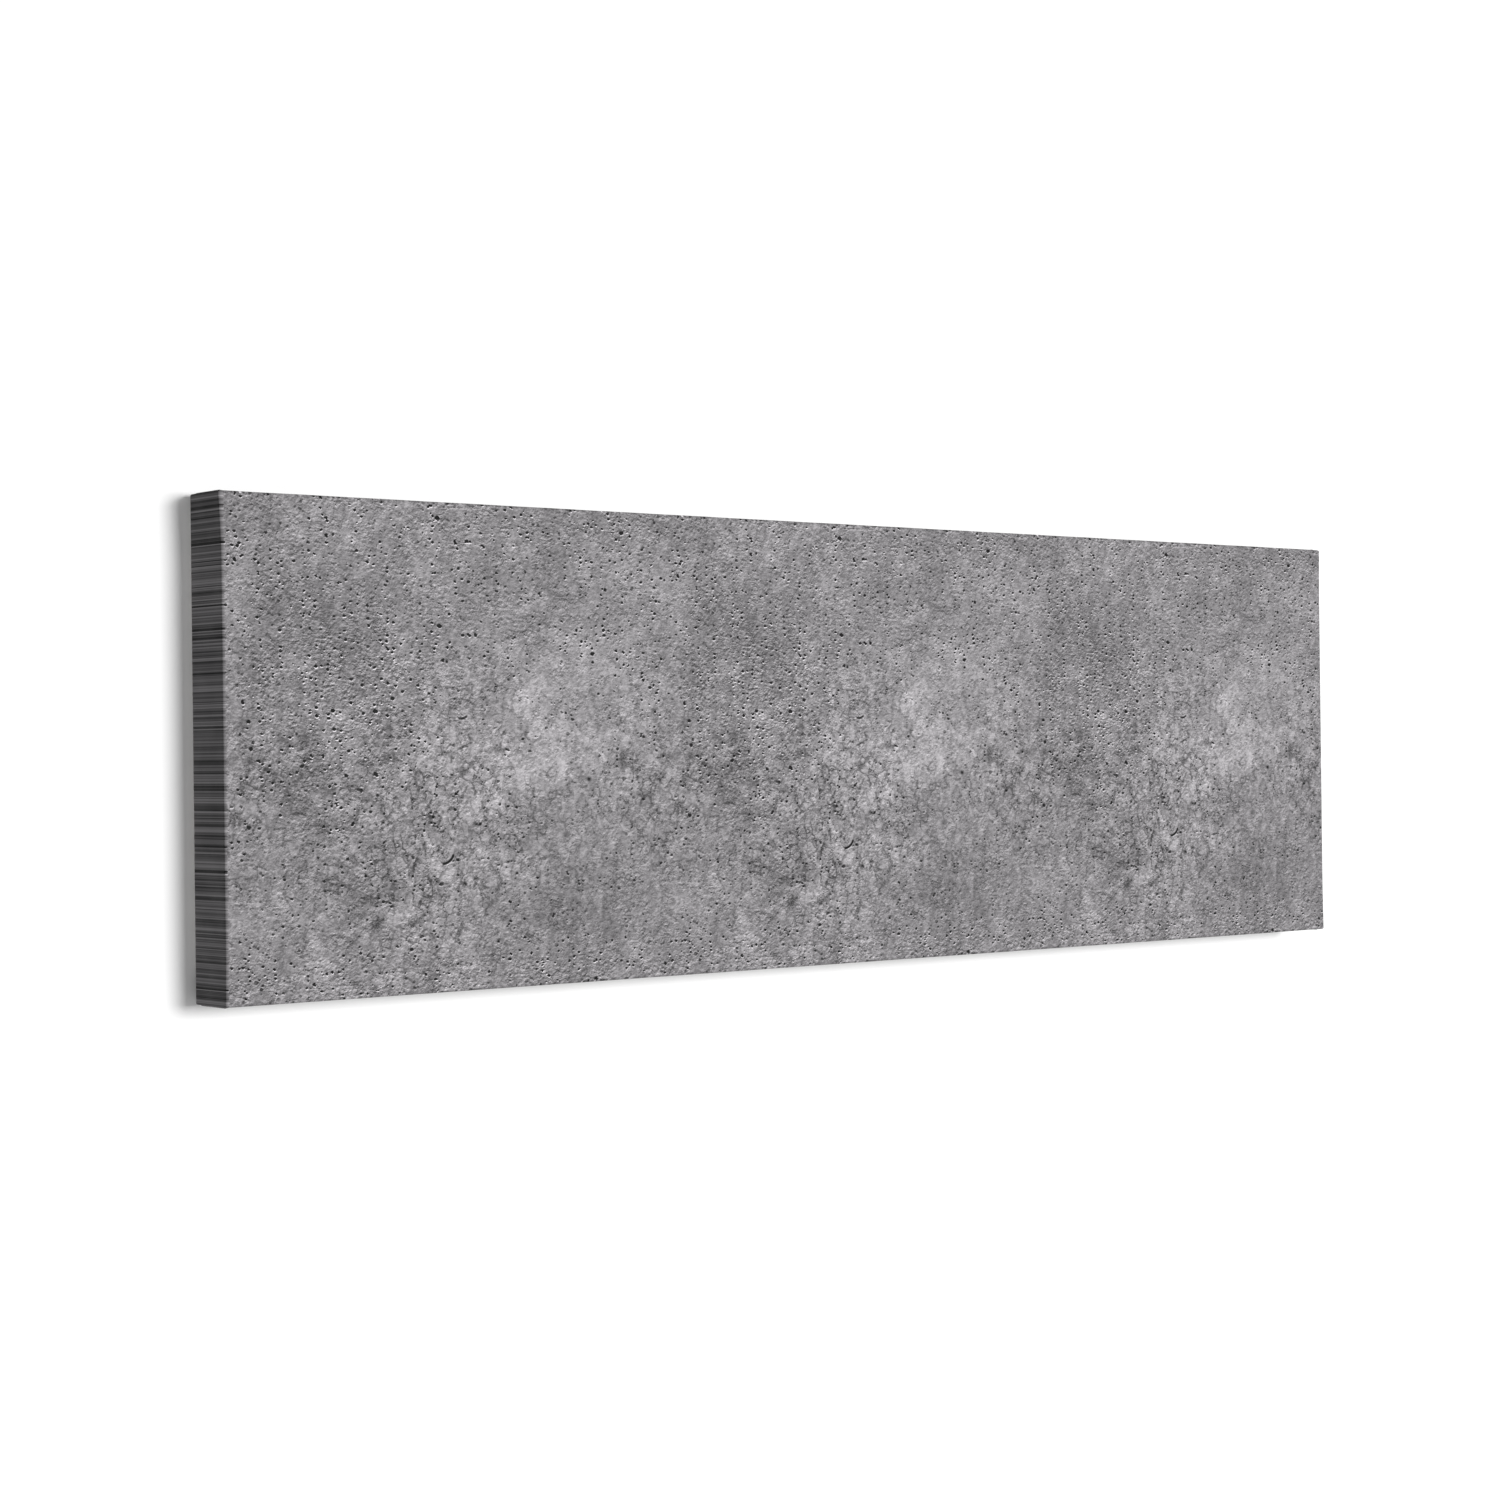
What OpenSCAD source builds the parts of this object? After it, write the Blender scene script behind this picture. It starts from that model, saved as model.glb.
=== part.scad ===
// Panoramic picture on stretched canvas. The cloth is wrapped over a wooden
// stretcher frame and stapled behind. The bars lock at mitred, slotted corners,
// wooden keys tighten them, and two hanger rings carry the picture on wall hooks.
// Frame of reference: +X to the right seen from the front, +Y into the wall, +Z up.
// The origin lies between the two wall hooks, in the plane of the wall.

/* [Picture] */
// Width of the stretched picture
picture_w = 1000; // [700:10:1400]
// Height of the stretched picture
picture_h = 300; // [240:10:500]
// Depth of the stretched picture, from the front cloth to the turned-in cloth
picture_d = 36; // [34:1:50]
// Distance from the top edge of the picture down to the wall hooks
hook_drop = 50; // [40:1:80]

/* [Canvas] */
// Thickness of the primed and printed cloth
cloth_t = 0.45; // [0.3:0.05:0.6]
// Room between the cloth and the wood
cloth_gap = 0.05; // [0.02:0.01:0.1]
// Width of the cloth turned in over the back
turn_in = 24; // [18:1:24]

/* [Stretcher bars] */
// Width of a bar, seen from the back
bar_w = 40; // [40:1:60]
// Width of the raised lip that carries the cloth
lip_w = 6; // [4:0.5:10]
// How far the front of a bar falls back behind its lip
lip_relief = 4; // [2:0.5:6]
// Radius of the outer front edge that the cloth bends over
edge_r = 2; // [1:0.5:4]
// Radius of the inner front edge
inner_edge_r = 3; // [1:0.5:4]

/* [Corner joints] */
// Depth of wood in front of the tongues
shoulder_t = 11; // [10:0.5:14]
// Thickness of a tongue, and of the slot that takes it
tongue_t = 5.4; // [5.2:0.1:7]
// Gap left between the wooden faces of a joint
joint_gap = 0.1; // [0.05:0.05:0.3]

/* [Keys] */
// Length of a key
key_l = 40; // [34:1:46]
// Height of a key at its tip
key_tip = 4; // [3:0.5:6]
// Taper angle of a key
key_angle = 10; // [6:1:12]
// Thickness of a key
key_t = 5; // [4:0.1:5]
// Length of a key that sits in its slot
key_in = 26; // [20:1:30]

/* [Centre brace] */
// Width of the brace, seen from the back
brace_w = 40; // [36:1:60]
// Thickness of the brace
brace_t = 22; // [18:1:24]
// Length of the tenon at each end of the brace
tenon_l = 20; // [12:1:24]
// Width of the tenon
tenon_w = 28; // [20:1:30]

/* [Hangers] */
// Distance from the side of the picture in to the middle of a hanger
hanger_inset = 32; // [31:0.5:33]
// Diameter of the ring's wire
ring_wire = 2.4; // [2:0.1:2.6]
// Clear width inside a ring
ring_inner_w = 14; // [13:0.5:16]
// Clear height of a ring above its pivot
ring_inner_h = 10; // [9:0.5:12]
// Width of the hanger strap
strap_w = 10; // [8:0.5:11]
// Thickness of the strap's sheet metal
strap_t = 0.8; // [0.6:0.1:0.8]
// Length of the strap below the ring's pivot
strap_l = 34; // [33:1:38]

/* [Fasteners] */
// Crown width of a staple
staple_w = 10; // [8:0.5:12]
// Length of a staple's legs below its crown
staple_leg = 8; // [6:0.5:10]
// Largest distance between two staples
staple_pitch = 62; // [40:1:90]
// Diameter of a hanger screw's shank
screw_d = 3.4; // [3:0.1:3.6]
// Length of a hanger screw under its head
screw_l = 16; // [12:1:20]

/* [Wall pads] */
// Diameter of a wall pad
pad_d = 14; // [10:1:16]
// Thickness of a wall pad, which is the room between picture and wall
pad_t = 5; // [5:0.5:8]
// Distance from the picture's edges in to the middle of a pad
pad_inset = 14; // [10:1:14]

/* [Hidden] */

print_grey = [0.56, 0.56, 0.57];
pine = [0.80, 0.66, 0.47];
beech = [0.76, 0.58, 0.40];
zinc = [0.74, 0.75, 0.77];
rubber_grey = [0.22, 0.22, 0.23];

LEFT = -1;
RIGHT = 1;
TOP = 1;
BOTTOM = -1;
over = 1;             // how far a cutter runs past what it cuts
arc_steps = 6;

// The wooden frame, measured from its own centre in X and Z and from the lip in Y
cloth_room = cloth_t + cloth_gap;
frame_w = picture_w - 2 * cloth_room;
frame_h = picture_h - 2 * cloth_room;
bar_d = picture_d - 2 * cloth_room;
x_out = frame_w / 2;
z_out = frame_h / 2;
x_in = x_out - bar_w;
z_in = z_out - bar_w;
back_y = -pad_t - cloth_room;                 // the back of the bars
lip_y = back_y - bar_d;                       // the front of the bars
centre_z = hook_drop - picture_h / 2;

// Depths of the two layers in a corner joint: front tongue, then back tongue
layer_0 = shoulder_t;
layer_1 = layer_0 + tongue_t;
layer_2 = layer_1 + tongue_t;
tongue_short = 0.5;   // a tongue stops this far inside the outer face

key_slot_room = 0.15;
key_slot_deeper = 2;

brace_front = (layer_0 + layer_2 - brace_t) / 2 + 2;
brace_chamfer = 1.5;

hanger_x = picture_w / 2 - hanger_inset;
ring_r = ring_wire / 2;
bow_r = ring_inner_w / 2 + ring_r;
pivot_z = -ring_inner_h;
bow_z = -ring_inner_w / 2;
bore_r = ring_r + 0.09;                       // running room for the ring
loop_r = bore_r + strap_t;
pivot_y = back_y + loop_r;
plate_t = 2 * strap_t;
screw_z = [18, 28];                           // screws below the pivot
screw_hole_d = screw_d + 0.6;
screw_head_d = 6.4;
screw_head_t = 2.1;

staple_wire_w = 1.2;
staple_wire_t = 0.7;
staple_line = 13;                             // staples in from the picture's edge
staple_end = 42;                              // first staple in from a corner

// Points of an arc about centre c, from angle a to angle b
function arc(c, r, a, b) = [
    for (i = [0 : arc_steps])
        let (t = a + (b - a) * i / arc_steps) c + r * [cos(t), sin(t)]
];

// Section of a bar: x runs in from the outer face, y back from the lip
function bar_section() = concat(
    [[0, bar_d]],
    arc([edge_r, edge_r], edge_r, 180, 270),
    [[lip_w, 0], [lip_w + lip_relief, lip_relief]],
    arc([bar_w - inner_edge_r, lip_relief + 2 + inner_edge_r], inner_edge_r, 270, 360),
    [[bar_w, bar_d - 1], [bar_w - 1, bar_d]]
);

// Section of the wrapped cloth: a box of width w from depth y0 to y1, front edges round
function wrap_section(w, y0, y1, r) = concat(
    [[-w / 2, y1]],
    arc([-w / 2 + r, y0 + r], r, 180, 270),
    arc([w / 2 - r, y0 + r], r, 270, 360),
    [[w / 2, y1]]
);

function swapped(points) = [for (p = points) [p.y, p.x]];

// Height of a key at distance s from its tip
function key_height(s) = key_tip + s * tan(key_angle);

// Staple places along a run of the given half length
function run(half) =
    let (spaces = ceil(2 * half / staple_pitch))
        [for (i = [0 : spaces]) -half + 2 * half * i / spaces];

// ---- placing ----

// Moves from the frame's own centre and lip to the row frame
module in_place() translate([0, lip_y, centre_z]) children();

// Repeats what is made for the top left corner at another corner
module corner(side, level)
    mirror([side == RIGHT ? 1 : 0, 0, 0])
        mirror([0, 0, level == BOTTOM ? 1 : 0])
            children();

// Extrudes an X-Z outline through the depth from y0 to y1
module slab(y0, y1)
    translate([0, y1, 0]) rotate([90, 0, 0]) linear_extrude(y1 - y0) children();

// Extrudes an outline, given as Y-Z points, along X
module along_x(length, points)
    translate([-length / 2, 0, 0]) rotate([90, 0, 90])
        linear_extrude(length) polygon(points);

// ---- keys and their slots ----

// A key's outline: tip at the origin, straight edge along +X, taper below it
module key_outline()
    polygon([[0, 0], [key_l, 0], [key_l, -key_height(key_l)], [0, -key_tip]]);

module key_slot_outline() {
    mouth = key_in + over;
    polygon([
        [-key_slot_deeper, over], [mouth, over],
        [mouth, -key_height(mouth) - key_slot_room],
        [0, -key_tip - key_slot_room], [-key_slot_deeper, -key_tip - key_slot_room]
    ]);
}

// Lays a top left key along the top bar, in the front layer
module across() translate([-x_in - key_in, 0, z_in]) children();

// Lays a top left key along the left bar, in the back layer
module upright()
    translate([-x_in, 0, z_in + key_in]) mirror([1, 0, 0]) rotate([0, 90, 0]) children();

// Lays a key along the top bar, into the right side of the brace
module beside_brace() translate([brace_w / 2 - key_in, 0, z_in]) children();

module key_at(y) slab(y - key_t / 2, y + key_t / 2) key_outline();

module key_across(side, level)
    color(beech) in_place() corner(side, level) across() key_at((layer_0 + layer_1) / 2);

module key_upright(side, level)
    color(beech) in_place() corner(side, level) upright() key_at((layer_1 + layer_2) / 2);

// The brace's two ends are the same, turned half round about the depth axis
module brace_key(level)
    color(beech) in_place() corner(level == TOP ? LEFT : RIGHT, level)
        beside_brace() key_at((layer_1 + layer_2) / 2);

// ---- bars ----

// Waste outside the mitre of the top bar at the top left corner
module mitre_waste_across()
    polygon([
        [-x_out + joint_gap - 5, z_out + 5], [-x_in + joint_gap + 5, z_in - 5],
        [-x_out - 5, z_in - 5]
    ]);

// Waste outside the mitre of the left bar at the top left corner
module mitre_waste_upright()
    polygon([
        [-x_out - joint_gap - 5, z_out + 5], [-x_in - joint_gap + 5, z_in - 5],
        [-x_in + 5, z_out + 5]
    ]);

// What is cut from the top bar's left end: mitres, tongue end and slot
module across_end_waste() {
    slab(-over, layer_0) mitre_waste_across();
    slab(layer_0 - over / 2, layer_1)
        translate([-x_out - over, z_in - over])
            square([tongue_short + over, bar_w + 2 * over]);
    slab(layer_1 - joint_gap, layer_2 + joint_gap)
        translate([-x_out - over, z_in - over])
            square([bar_w + over + joint_gap, bar_w + 2 * over]);
    slab(layer_2, bar_d + over) mitre_waste_across();
    upright() slab(layer_1 - joint_gap, layer_2 + joint_gap) key_slot_outline();
}

// What is cut from the left bar's top end: mitres, slot and tongue end
module upright_end_waste() {
    slab(-over, layer_0) mitre_waste_upright();
    slab(layer_0 - joint_gap, layer_1 + joint_gap)
        translate([-x_out - over, z_in - joint_gap])
            square([bar_w + 2 * over, bar_w + over + joint_gap]);
    slab(layer_1 - over / 2, layer_2)
        translate([-x_out - over, z_out - tongue_short])
            square([bar_w + 2 * over, tongue_short + over]);
    slab(layer_2, bar_d + over) mitre_waste_upright();
    across() slab(layer_0 - joint_gap, layer_1 + joint_gap) key_slot_outline();
}

module brace_mortise()
    slab(layer_0, layer_1)
        translate([-tenon_w / 2 - joint_gap, z_in - over])
            square([tenon_w + 2 * joint_gap, tenon_l + 2 * joint_gap + over]);

// Top bar, or the bottom bar as its mirror image
module across_bar(level)
    color(pine) in_place() corner(LEFT, level)
        difference() {
            translate([0, 0, z_out])
                along_x(frame_w, [for (p = bar_section()) [p.y, -p.x]]);
            corner(LEFT, TOP) across_end_waste();
            corner(RIGHT, TOP) across_end_waste();
            brace_mortise();
        }

// Left bar, or the right bar as its mirror image
module upright_bar(side)
    color(pine)
        difference() {
            in_place() corner(side, TOP)
                difference() {
                    translate([-x_out, 0, -z_out]) linear_extrude(frame_h)
                        polygon(bar_section());
                    corner(LEFT, TOP) upright_end_waste();
                    corner(LEFT, BOTTOM) upright_end_waste();
                }
            at_hanger_screws(side) pilot_hole();
        }

// ---- centre brace ----

module brace_end_cut()
    beside_brace() slab(layer_1 - joint_gap, layer_2 + joint_gap) key_slot_outline();

module brace_tenon()
    slab(layer_0 + joint_gap, layer_1 - joint_gap)
        translate([-tenon_w / 2, z_in - 5]) square([tenon_w, tenon_l + 5]);

module centre_brace() {
    c = brace_chamfer;
    half = brace_w / 2;
    y0 = brace_front;
    y1 = brace_front + brace_t;
    color(pine) in_place()
        difference() {
            union() {
                translate([0, 0, -z_in + joint_gap])
                    linear_extrude(2 * (z_in - joint_gap))
                        polygon([
                            [-half, y0 + c], [-half + c, y0], [half - c, y0], [half, y0 + c],
                            [half, y1 - c], [half - c, y1], [-half + c, y1], [-half, y1 - c]
                        ]);
                brace_tenon();
                corner(LEFT, BOTTOM) brace_tenon();
            }
            brace_end_cut();
            corner(RIGHT, BOTTOM) brace_end_cut();
        }
}

// ---- canvas ----

// The space inside a wrap of cloth: a box with round front edges on all four sides
module wrap(w, h, y0, y1, r)
    intersection() {
        along_x(w, swapped(wrap_section(h, y0, y1, r)));
        translate([0, 0, -h / 2]) linear_extrude(h) polygon(wrap_section(w, y0, y1, r));
    }

module canvas()
    color(print_grey) in_place()
        difference() {
            wrap(picture_w, picture_h, -cloth_room, bar_d + cloth_room, edge_r + cloth_room);
            wrap(frame_w + 2 * cloth_gap, frame_h + 2 * cloth_gap,
                 -cloth_gap, bar_d + cloth_gap, edge_r + cloth_gap);
            translate([-picture_w / 2 + turn_in, bar_d - over, -picture_h / 2 + turn_in])
                cube([picture_w - 2 * turn_in, cloth_room + 2 * over,
                      picture_h - 2 * turn_in]);
        }

// ---- staples ----

// A staple driven into the back, its crown along X
module staple()
    translate([0, bar_d + cloth_room, 0]) {
        translate([-staple_w / 2, 0, -staple_wire_w / 2])
            cube([staple_w, staple_wire_t, staple_wire_w]);
        for (side = [LEFT, RIGHT])
            translate([side * (staple_w - staple_wire_t) / 2 - staple_wire_t / 2,
                       -staple_leg, -staple_wire_w / 2])
                cube([staple_wire_t, staple_leg + staple_wire_t, staple_wire_w]);
    }

module staples_across(level)
    color(zinc) in_place()
        for (x = run(picture_w / 2 - staple_end))
            translate([x, 0, level * (picture_h / 2 - staple_line)]) staple();

module staples_upright(side)
    color(zinc) in_place()
        for (z = run(picture_h / 2 - staple_end))
            translate([side * (picture_w / 2 - staple_line), 0, z])
                rotate([0, 90, 0]) staple();

// ---- hangers ----

module at_hanger(side) translate([side * hanger_x, 0, pivot_z]) children();

module at_hanger_screws(side)
    for (drop = screw_z)
        translate([side * hanger_x, back_y, pivot_z - drop]) rotate([-90, 0, 0]) children();

module pilot_hole()
    translate([0, 0, -screw_l]) cylinder(d = screw_d + 0.1, h = screw_l + over, $fn = 32);

// Y-Z section of the folded strap: two layers on the wood and a loop with its bore
module strap_section()
    difference() {
        union() {
            circle(r = loop_r, $fn = 48);
            translate([-loop_r, -strap_l]) square([plate_t, strap_l]);
        }
        circle(r = bore_r, $fn = 48);
    }

module hanger_strap(side)
    color(zinc)
        difference() {
            at_hanger(side)
                translate([-strap_w / 2, pivot_y, 0]) rotate([90, 0, 90])
                    linear_extrude(strap_w) strap_section();
            at_hanger_screws(side)
                cylinder(d = screw_hole_d, h = 4 * plate_t, center = true, $fn = 32);
        }

// D-shaped ring: a straight bar in the strap's loop, two legs and a round bow
module hanger_ring(side) {
    leg = bow_z - pivot_z;
    color(zinc) at_hanger(side) translate([0, pivot_y, 0]) {
        rotate([0, 90, 0]) cylinder(r = ring_r, h = 2 * bow_r, center = true, $fn = 32);
        for (s = [LEFT, RIGHT])
            translate([s * bow_r, 0, 0]) {
                sphere(r = ring_r, $fn = 32);
                cylinder(r = ring_r, h = leg, $fn = 32);
            }
        translate([0, 0, leg]) rotate([90, 0, 0])
            rotate_extrude(angle = 180, $fn = 64)
                translate([bow_r, 0]) circle(r = ring_r, $fn = 32);
    }
}

// Pan-head wood screw with a cross recess, its head on the strap
module hanger_screw() {
    head_r = screw_head_d / 2;
    rim = 0.8;
    translate([0, 0, plate_t])
        difference() {
            union() {
                rotate_extrude($fn = 48)
                    polygon(concat(
                        [[0, 0], [head_r, 0]],
                        [for (i = [0 : arc_steps])
                            let (t = 90 * i / arc_steps)
                                [head_r * (0.35 + 0.65 * cos(t)),
                                 rim + (screw_head_t - rim) * sin(t)]],
                        [[0, screw_head_t]]
                    ));
                translate([0, 0, -screw_l + 3])
                    cylinder(d = screw_d, h = screw_l - 3 + rim / 2, $fn = 32);
                translate([0, 0, -screw_l])
                    cylinder(d1 = 0.6, d2 = screw_d, h = 3, $fn = 32);
            }
            for (turn = [0, 90])
                rotate([0, 0, turn + 20])
                    translate([0, 0, screw_head_t]) cube([3.2, 0.8, 2 * 1.1], center = true);
        }
}

module hanger_screws(side) color(zinc) at_hanger_screws(side) hanger_screw();

// ---- wall pads ----

module wall_pad(side)
    color(rubber_grey)
        translate([side * (picture_w / 2 - pad_inset), -pad_t,
                   hook_drop - picture_h + pad_inset])
            rotate([-90, 0, 0])
                rotate_extrude($fn = 64)
                    polygon(concat(
                        [[0, 0], [pad_d / 2, 0]],
                        arc([pad_d / 2 - 1.5, pad_t - 1.5], 1.5, 0, 90),
                        [[0, pad_t]]
                    ));

canvas();
across_bar(TOP);  // top_bar
across_bar(BOTTOM);  // bottom_bar
upright_bar(LEFT);  // left_bar
upright_bar(RIGHT);  // right_bar
centre_brace();
key_across(LEFT, TOP);  // key_top_left_across
key_upright(LEFT, TOP);  // key_top_left_upright
key_across(RIGHT, TOP);  // key_top_right_across
key_upright(RIGHT, TOP);  // key_top_right_upright
key_across(LEFT, BOTTOM);  // key_bottom_left_across
key_upright(LEFT, BOTTOM);  // key_bottom_left_upright
key_across(RIGHT, BOTTOM);  // key_bottom_right_across
key_upright(RIGHT, BOTTOM);  // key_bottom_right_upright
brace_key(TOP);  // brace_key_top
brace_key(BOTTOM);  // brace_key_bottom
staples_across(TOP);  // staples_top
staples_across(BOTTOM);  // staples_bottom
staples_upright(LEFT);  // staples_left
staples_upright(RIGHT);  // staples_right
hanger_strap(LEFT);  // left_hanger_strap
hanger_strap(RIGHT);  // right_hanger_strap
hanger_ring(LEFT);  // left_hanger_ring
hanger_ring(RIGHT);  // right_hanger_ring
hanger_screws(LEFT);  // left_hanger_screws
hanger_screws(RIGHT);  // right_hanger_screws
wall_pad(LEFT);  // left_wall_pad
wall_pad(RIGHT);  // right_wall_pad
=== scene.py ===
"""Dresses the frame of a long canvas picture: wrapped cloth, wood, metal, pads and stage."""

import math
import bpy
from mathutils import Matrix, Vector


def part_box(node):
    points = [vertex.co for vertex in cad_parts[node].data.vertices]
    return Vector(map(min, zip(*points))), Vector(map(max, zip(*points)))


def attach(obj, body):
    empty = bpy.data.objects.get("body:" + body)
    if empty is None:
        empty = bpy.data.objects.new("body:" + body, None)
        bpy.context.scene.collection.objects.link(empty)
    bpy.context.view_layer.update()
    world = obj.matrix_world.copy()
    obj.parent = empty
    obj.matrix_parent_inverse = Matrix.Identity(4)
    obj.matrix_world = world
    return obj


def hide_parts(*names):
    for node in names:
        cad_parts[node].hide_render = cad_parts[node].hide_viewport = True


bl_info = {
    "name": "Wrapped Canvas Picture",
    "version": (1, 0, 0),
    "blender": (4, 5, 0),
    "location": "3D View > Sidebar > Picture",
    "description": "Cloth, wood and fittings of a long picture on a keyed stretcher frame",
    "category": "Object",
}

import bmesh
import bpy
import numpy as np
from bpy.props import (
    BoolProperty,
    FloatProperty,
    FloatVectorProperty,
    IntProperty,
    PointerProperty,
)
from bpy.types import Operator, Panel, PropertyGroup
from mathutils import Matrix, Vector

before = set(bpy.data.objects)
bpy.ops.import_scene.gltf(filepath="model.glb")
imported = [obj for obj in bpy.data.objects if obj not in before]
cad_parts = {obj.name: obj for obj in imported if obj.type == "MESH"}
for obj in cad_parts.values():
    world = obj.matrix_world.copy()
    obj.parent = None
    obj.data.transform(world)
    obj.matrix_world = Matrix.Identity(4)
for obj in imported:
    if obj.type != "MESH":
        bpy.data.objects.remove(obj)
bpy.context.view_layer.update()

LOW, HIGH = (np.array(corner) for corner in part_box("canvas"))
MIDDLE = (LOW + HIGH) / 2
ROOT = "picture"
LEFT, RIGHT, TOP, BOTTOM = -1, 1, 1, -1
SIZE = HIGH - LOW

# Sizes of the cloth's shape, in metres
CORNER_RADIUS = 0.0013  # of the wrapped outline, seen from the front
FOLD_INSET = 0.0016  # from the picture's side in to a fold's edge
SUNK = 0.0003  # how far a fold's hidden rim lies under the cloth
WAVE = 0.00018  # of the cloth between its staples
RIPPLE = 0.00022  # of the face

# Sizes in the wood, in metres
RING_SPACING = 0.0042
KNOT_SPACING = 0.085

# The stage
WALL_CORNERS = [(-2.2, 0, -1.3), (2.4, 0, -1.3), (2.4, 0, 1.3), (-2.2, 0, 1.3)]
FLOOR_REACH = 6
BACKDROP = 0.82  # brightness of the world where nothing else is seen

# Places in the print, in metres
EDGE = 0.0009  # how far inside the outline the sides take their tones
BEHIND = 0.002  # the last of the depth counts as the back
EMBOSS = 0.00030  # shift between the two heights that the relief compares
NICK_RADIUS = 0.0086  # of the ring that a nick is part of

# Strengths of the print
FACE_SHARE = 0.756  # reflectance of a full tone on the face
SIDE_CONTRAST = 1.0  # how much further the tones are pulled apart on the sides
SIDE_CEILING = 0.25  # palest tone on the sides, above the mean
DARKEST = 0.02

# Soft spots of one repeat: (right of its left end, below the top), radius, strength
PATCHES = (
    ((0.282, 0.085), 0.034, 0.040),
    ((0.165, 0.050), 0.035, 0.022),
    ((0.050, 0.165), 0.034, -0.065),
    ((0.070, 0.080), 0.050, -0.040),
    ((0.252, 0.252), 0.028, -0.045),
    ((0.252, 0.010), 0.030, -0.040),
    ((0.086, 0.240), 0.022, -0.030),
    ((0.105, 0.255), 0.0050, -0.14),
    ((0.122, 0.246), 0.0090, 0.07),
    ((0.090, 0.263), 0.0075, 0.06),
    ((0.100, 0.191), 0.0070, 0.05),
    ((0.148, 0.239), 0.0060, -0.08),
    ((0.2665, 0.1712), 0.0013, -0.50),
    ((0.320, 0.270), 0.030, -0.020),
)
FLAKY_ZONES = (
    ((0.138, 0.218), 0.078, 0.85),
    ((0.185, 0.145), 0.050, 0.45),
    ((0.318, 0.175), 0.055, 0.55),
)
ROUGH_ZONES = (
    ((0.085, 0.115), 0.060, 0.50),
    ((0.262, 0.185), 0.090, -0.30),
)
PITTED_ZONES = (
    ((0.082, 0.105), 0.075, 0.95),
    ((0.300, 0.080), 0.050, 0.30),
    ((0.262, 0.150), 0.045, -0.25),
)
# Centre of a nick's ring, middle of the nick, half its length and its darkness
NICKS = (
    ((0.1530, 0.2128), (0.1577, 0.2199), 0.0062, 0.85),
    ((0.1670, 0.1240), (0.1690, 0.1323), 0.0042, 0.45),
)
# Cell size of the pits in metres, then the chance and the reach that set how many and how wide
PITS = ((0.0030, -0.35, 0.33), (0.0075, 0.35, 0.19))


# ---- settings ----


class ClothSettings(PropertyGroup):
    """Sizes of the wrapped cloth."""

    thickness: FloatProperty(
        name="Thickness",
        description="Thickness of the primed and printed cloth",
        default=0.00045,
        min=0.0002,
        max=0.001,
        precision=5,
        unit="LENGTH",
    )
    front_radius: FloatProperty(
        name="Front radius",
        description="Radius that the cloth takes over the front edges",
        default=0.0020,
        min=0.0005,
        max=0.006,
        precision=4,
        unit="LENGTH",
    )
    back_radius: FloatProperty(
        name="Back radius",
        description="Radius that the cloth takes over the back edges",
        default=0.0012,
        min=0.0005,
        max=0.003,
        precision=4,
        unit="LENGTH",
    )
    turn_in: FloatProperty(
        name="Turn-in",
        description="Width of the cloth behind the frame",
        default=0.024,
        min=0.01,
        max=0.05,
        unit="LENGTH",
    )
    corner_bulge: FloatProperty(
        name="Corner bulge",
        description="How far the folded cloth stands out at the top left corner",
        default=0.0018,
        min=0.0,
        max=0.005,
        precision=4,
        unit="LENGTH",
    )
    fold_lift: FloatProperty(
        name="Fold lift",
        description="Height of a corner fold over the cloth beneath it",
        default=0.0007,
        min=0.0,
        max=0.002,
        precision=5,
        unit="LENGTH",
    )
    thread_pitch: FloatProperty(
        name="Thread pitch",
        description="Distance between two threads of the weave",
        default=0.00065,
        min=0.0003,
        max=0.002,
        precision=5,
        unit="LENGTH",
    )


class PrintSettings(PropertyGroup):
    """The printed concrete."""

    repeats: IntProperty(
        name="Repeats",
        description="How many times the print repeats across the picture",
        default=3,
        min=1,
        max=8,
    )
    tone: FloatProperty(
        name="Tone",
        description="Mean brightness of the print, from black to white",
        default=0.55,
        min=0.1,
        max=0.9,
        subtype="FACTOR",
    )
    tint: FloatVectorProperty(
        name="Tint",
        description="Colour cast of the print",
        default=(1.0, 0.965, 1.0),
        min=0.0,
        max=1.0,
        subtype="COLOR",
    )
    # Sides darker than the front: partly a darker printed edge, partly painted shade for the
    # shadow the sides lie in
    side_tone_and_shade: FloatProperty(
        name="Side tone",
        description="Brightness of the print on the sides, against the front",
        default=0.46,
        min=0.1,
        max=1.0,
        subtype="FACTOR",
    )


class WoodSettings(PropertyGroup):
    """The stretcher's woods."""

    pine_light: FloatVectorProperty(
        name="Pine, early wood",
        description="Colour of the pale part of the pine's rings",
        default=(0.66, 0.47, 0.28),
        min=0.0,
        max=1.0,
        subtype="COLOR",
    )
    pine_dark: FloatVectorProperty(
        name="Pine, late wood",
        description="Colour of the dark part of the pine's rings",
        default=(0.50, 0.29, 0.12),
        min=0.0,
        max=1.0,
        subtype="COLOR",
    )
    beech: FloatVectorProperty(
        name="Beech",
        description="Colour of the keys",
        default=(0.56, 0.36, 0.21),
        min=0.0,
        max=1.0,
        subtype="COLOR",
    )


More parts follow.
